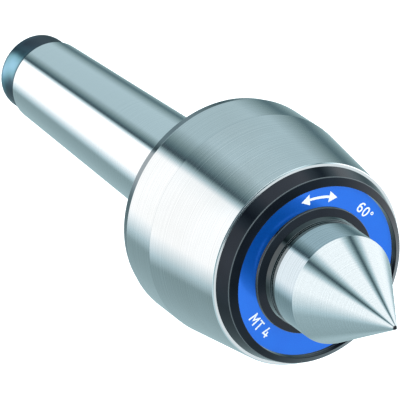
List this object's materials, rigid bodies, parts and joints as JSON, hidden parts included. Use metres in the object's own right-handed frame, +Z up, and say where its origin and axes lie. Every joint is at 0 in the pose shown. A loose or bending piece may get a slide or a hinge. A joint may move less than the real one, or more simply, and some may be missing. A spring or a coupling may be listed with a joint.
{
  "type": "live center",
  "caption": "Live center with a 60 degree point that turns freely on ball, thrust and needle bearings in a head on a Morse taper shank.",
  "frame": {"origin": "on the axis, in the gauge plane of the Morse taper", "axes": "+X along the axis from the shank towards the 60 degree point, +Z up"},
  "size_m": [0.2072, 0.0672, 0.0672],
  "materials": {
    "ground_steel": "hardened steel, ground shank and fine turned head",
    "spindle_steel": "hardened steel, cylindrically ground",
    "black_oxide_steel": "turned steel, glossy black oxide",
    "blue_anodised": "blue anodised, satin",
    "rubber": "moulded nitrile rubber",
    "spring_steel": "tempered spring steel",
    "bearing_steel": "ground and polished bearing steel",
    "cage_brass": "machined brass",
    "ball_steel": "lapped bearing steel"
  },
  "bodies": {
    "housing": {"taper_shank": "ground_steel", "bearing_head": "ground_steel", "front_cover": "black_oxide_steel", "marking_ring": "blue_anodised", "cover_o_ring": "rubber", "shaft_seal": "rubber", "preload_spring": "spring_steel", "bearing_outer_ring": "bearing_steel", "bearing_shields": "spring_steel", "thrust_housing_washer": "bearing_steel", "needle_cup": "bearing_steel"},
    "spindle": {"spindle": "spindle_steel", "bearing_inner_ring": "bearing_steel", "spindle_circlip": "spring_steel", "spacer_sleeve": "spring_steel", "thrust_shaft_washer": "bearing_steel"},
    "front_ball_set": {"bearing_cage": "cage_brass", "bearing_balls": "ball_steel"},
    "thrust_ball_set": {"thrust_cage": "cage_brass", "thrust_balls": "ball_steel"},
    "needle_set": {"needle_cage": "cage_brass", "needle_rollers": "ball_steel"}
  },
  "joints": [
    {"name": "spindle_spin", "type": "hinge", "parent": "housing", "child": "spindle", "pos_m": [0, 0, 0], "axis": [1, 0, 0], "continuous": true},
    {"name": "front_ball_set_spin", "type": "hinge", "parent": "housing", "child": "front_ball_set", "pos_m": [0.0375, 0, 0], "axis": [1, 0, 0], "continuous": true},
    {"name": "thrust_ball_set_spin", "type": "hinge", "parent": "housing", "child": "thrust_ball_set", "pos_m": [0.0175, 0, 0], "axis": [1, 0, 0], "continuous": true},
    {"name": "needle_set_spin", "type": "hinge", "parent": "housing", "child": "needle_set", "pos_m": [-0.006, 0, 0], "axis": [1, 0, 0], "continuous": true}
  ],
  "couplings": [
    {"joint": "front_ball_set_spin", "follows": "spindle_spin", "ratio": 0.4159},
    {"joint": "thrust_ball_set_spin", "follows": "spindle_spin", "ratio": 0.5},
    {"joint": "needle_set_spin", "follows": "spindle_spin", "ratio": 0.4456}
  ]
}
